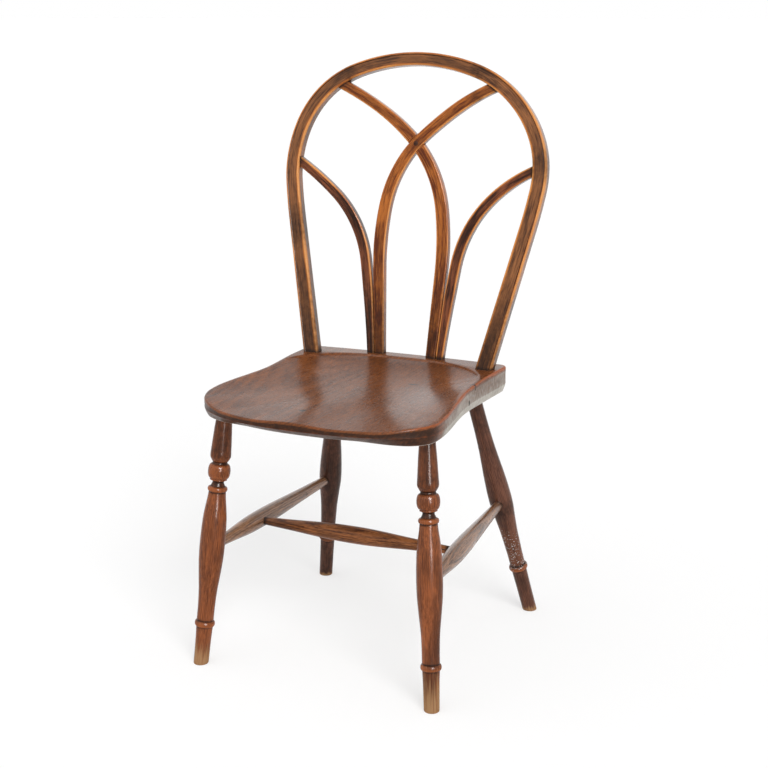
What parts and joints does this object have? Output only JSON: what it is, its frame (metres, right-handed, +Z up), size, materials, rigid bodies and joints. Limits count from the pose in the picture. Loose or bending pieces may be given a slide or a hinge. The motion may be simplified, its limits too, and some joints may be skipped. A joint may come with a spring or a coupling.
{
  "type": "hoop back chair",
  "caption": "Wooden side chair for sitting at a table: a bent hoop holds bent arcs that cross, over a saddled plank seat on raked turned legs joined by stretchers.",
  "frame": {"origin": "on the floor, under the middle of the chair's bounding box", "axes": "+Z up, -Y to the front of the chair, +X to the right as seen from the front"},
  "size_m": [0.4534, 0.4938, 0.922],
  "materials": {
    "seat_elm": "old red-brown varnish, worn orange on the arrises",
    "hoop_wood": "dark brown stain and varnish, worn golden on the arrises",
    "wedge_wood": "bare hardwood, cut flush",
    "long_arc_wood": "orange-brown varnish, half gloss",
    "short_arc_wood": "near-black brown varnish, orange at the lower arrises",
    "pin_wood": "dark peg, smooth",
    "leg_wood": "red-brown varnish, glossy on the turnings, worn pale at the feet",
    "side_stretcher_wood": "greyish brown, worn varnish",
    "cross_stretcher_wood": "orange-brown worn varnish"
  },
  "bodies": {
    "root": {"seat": "seat_elm", "hoop": "hoop_wood", "hoop_wedges": "wedge_wood", "long_arc_left": "long_arc_wood", "long_arc_right": "long_arc_wood", "short_arc_left": "short_arc_wood", "short_arc_right": "short_arc_wood", "crossing_pin": "pin_wood", "leg_front_left": "leg_wood", "leg_front_right": "leg_wood", "leg_rear_left": "leg_wood", "leg_rear_right": "leg_wood", "side_stretcher_left": "side_stretcher_wood", "side_stretcher_right": "side_stretcher_wood", "cross_stretcher": "cross_stretcher_wood"}
  },
  "joints": []
}
